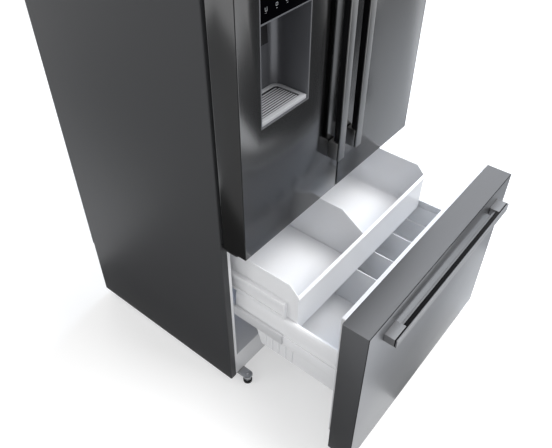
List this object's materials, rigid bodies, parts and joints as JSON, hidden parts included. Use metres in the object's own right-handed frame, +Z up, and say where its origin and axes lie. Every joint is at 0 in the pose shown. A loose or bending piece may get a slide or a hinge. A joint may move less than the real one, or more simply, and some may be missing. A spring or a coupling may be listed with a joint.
{
  "type": "bottom freezer refrigerator",
  "caption": "Free-standing refrigerator with French doors, an ice and water dispenser in the left door, and a pull-out freezer drawer with a tray over a divided bin.",
  "frame": {"origin": "on the floor, at the middle of the box of the whole object with its freezer drawer open as in the picture", "axes": "+X to the viewer's right, -Y out of the front towards the viewer, +Z up"},
  "size_m": [0.908, 1.3, 1.782],
  "materials": {
    "case_paint": "textured dark grey enamel",
    "dark_stainless": "dark brushed stainless, satin",
    "handle_metal": "dark brushed bar with black sides",
    "zinc_steel": "zinc plated sheet",
    "hinge_metal": "black enamel",
    "white_plastic": "smooth moulded white",
    "clear_plastic": "clear moulded",
    "shelf_glass": "clear tempered glass",
    "grey_plastic": "satin grey",
    "black_plastic": "satin black",
    "black_glass": "polished black",
    "seal_rubber": "soft dark grey seal",
    "compressor_paint": "black enamelled shell",
    "copper_tube": "bare copper tube with aluminium fins",
    "foam": "cured insulation foam"
  },
  "bodies": {
    "cabinet": {"outer_casing": "case_paint", "rear_panel": "zinc_steel", "compressor_cover": "zinc_steel", "insulation": "foam", "fridge_liner": "white_plastic", "freezer_liner": "white_plastic", "centre_rail": "case_paint", "base_frame": "zinc_steel", "glass_shelf": "shelf_glass", "crisper_frame": "shelf_glass", "top_hinge_left": "zinc_steel", "top_hinge_right": "zinc_steel", "hinge_cover_left": "black_plastic", "hinge_cover_right": "black_plastic", "middle_hinge_left": "hinge_metal", "middle_hinge_right": "hinge_metal", "compressor": "compressor_paint", "condenser_coil": "copper_tube", "evaporator_cover": "white_plastic", "evaporator_coil": "copper_tube", "slide_outer_left": "zinc_steel", "slide_outer_right": "zinc_steel"},
    "left_door": {"left_door_skin": "dark_stainless", "left_door_liner": "white_plastic", "left_door_gasket": "seal_rubber", "left_door_handle": "handle_metal", "left_door_bin": "clear_plastic", "dispenser_housing": "grey_plastic", "control_panel": "black_glass", "drip_tray": "grey_plastic"},
    "right_door": {"right_door_skin": "dark_stainless", "right_door_liner": "white_plastic", "right_door_gasket": "seal_rubber", "right_door_handle": "handle_metal", "right_door_bin_lower": "clear_plastic", "right_door_bin_upper": "clear_plastic"},
    "mullion_flap": {"mullion_flap": "black_plastic"},
    "dispenser_paddle": {"dispenser_paddle": "black_plastic"},
    "freezer_drawer": {"drawer_skin": "dark_stainless", "drawer_inner_panel": "white_plastic", "drawer_gasket": "seal_rubber", "drawer_handle": "handle_metal", "drawer_side_left": "white_plastic", "drawer_side_right": "white_plastic", "lower_bin": "white_plastic", "bin_divider_left": "white_plastic", "bin_divider_centre": "white_plastic", "bin_divider_right": "white_plastic"},
    "slide_middle_left": {"slide_middle_left": "zinc_steel"},
    "slide_middle_right": {"slide_middle_right": "zinc_steel"},
    "upper_tray": {"upper_tray": "white_plastic", "tray_divider": "white_plastic"},
    "crisper_left": {"crisper_left": "clear_plastic"},
    "crisper_right": {"crisper_right": "clear_plastic"},
    "condenser_fan": {"condenser_fan": "black_plastic"},
    "evaporator_fan": {"evaporator_fan": "black_plastic"},
    "foot_left": {"foot_left": "black_plastic"},
    "foot_right": {"foot_right": "black_plastic"},
    "roller_left": {"roller_left": "black_plastic"},
    "roller_right": {"roller_right": "black_plastic"}
  },
  "joints": [
    {"name": "left_door_hinge", "type": "hinge", "parent": "cabinet", "child": "left_door", "pos_m": [-0.438, -0.133, 0.737], "axis": [0, 0, -1], "range_deg": [0, 120]},
    {"name": "right_door_hinge", "type": "hinge", "parent": "cabinet", "child": "right_door", "pos_m": [0.438, -0.133, 0.737], "axis": [0, 0, 1], "range_deg": [0, 120]},
    {"name": "mullion_flap_hinge", "type": "hinge", "parent": "left_door", "child": "mullion_flap", "pos_m": [-0.01975, -0.07295, 0.792], "axis": [0, 0, 1], "range_deg": [-90, 0]},
    {"name": "paddle_hinge", "type": "hinge", "parent": "left_door", "child": "dispenser_paddle", "pos_m": [-0.275, -0.095, 1.402], "axis": [1, 0, 0], "range_deg": [0, 12], "stiffness_Nm_per_rad": 0.6, "springref_deg": -8.59},
    {"name": "drawer_slide", "type": "slide", "parent": "cabinet", "child": "freezer_drawer", "axis": [0, 1, 0], "range_m": [0, 0.425]},
    {"name": "slide_left", "type": "slide", "parent": "cabinet", "child": "slide_middle_left", "axis": [0, 1, 0], "range_m": [0, 0.2125]},
    {"name": "slide_right", "type": "slide", "parent": "cabinet", "child": "slide_middle_right", "axis": [0, 1, 0], "range_m": [0, 0.2125]},
    {"name": "tray_slide", "type": "slide", "parent": "freezer_drawer", "child": "upper_tray", "axis": [0, 1, 0], "range_m": [-0.17, 0]},
    {"name": "crisper_left_slide", "type": "slide", "parent": "cabinet", "child": "crisper_left", "axis": [0, 1, 0], "range_m": [-0.055, 0]},
    {"name": "crisper_right_slide", "type": "slide", "parent": "cabinet", "child": "crisper_right", "axis": [0, 1, 0], "range_m": [-0.055, 0]},
    {"name": "condenser_fan_spin", "type": "hinge", "parent": "cabinet", "child": "condenser_fan", "pos_m": [0.04, 0.532, 0.165], "axis": [1, 0, 0], "continuous": true},
    {"name": "evaporator_fan_spin", "type": "hinge", "parent": "cabinet", "child": "evaporator_fan", "pos_m": [0, 0.544, 0.6], "axis": [0, 1, 0], "continuous": true},
    {"name": "foot_left_screw", "type": "hinge", "parent": "cabinet", "child": "foot_left", "pos_m": [-0.401, -0.115, 0], "axis": [0, 0, 1], "continuous": true},
    {"name": "roller_left_spin", "type": "hinge", "parent": "cabinet", "child": "roller_left", "pos_m": [-0.394, 0.607, 0.022], "axis": [1, 0, 0], "continuous": true},
    {"name": "foot_right_screw", "type": "hinge", "parent": "cabinet", "child": "foot_right", "pos_m": [0.401, -0.115, 0], "axis": [0, 0, 1], "continuous": true},
    {"name": "roller_right_spin", "type": "hinge", "parent": "cabinet", "child": "roller_right", "pos_m": [0.394, 0.607, 0.022], "axis": [1, 0, 0], "continuous": true}
  ],
  "couplings": [
    {"joint": "slide_left", "follows": "drawer_slide", "ratio": 0.5},
    {"joint": "slide_right", "follows": "drawer_slide", "ratio": 0.5}
  ]
}
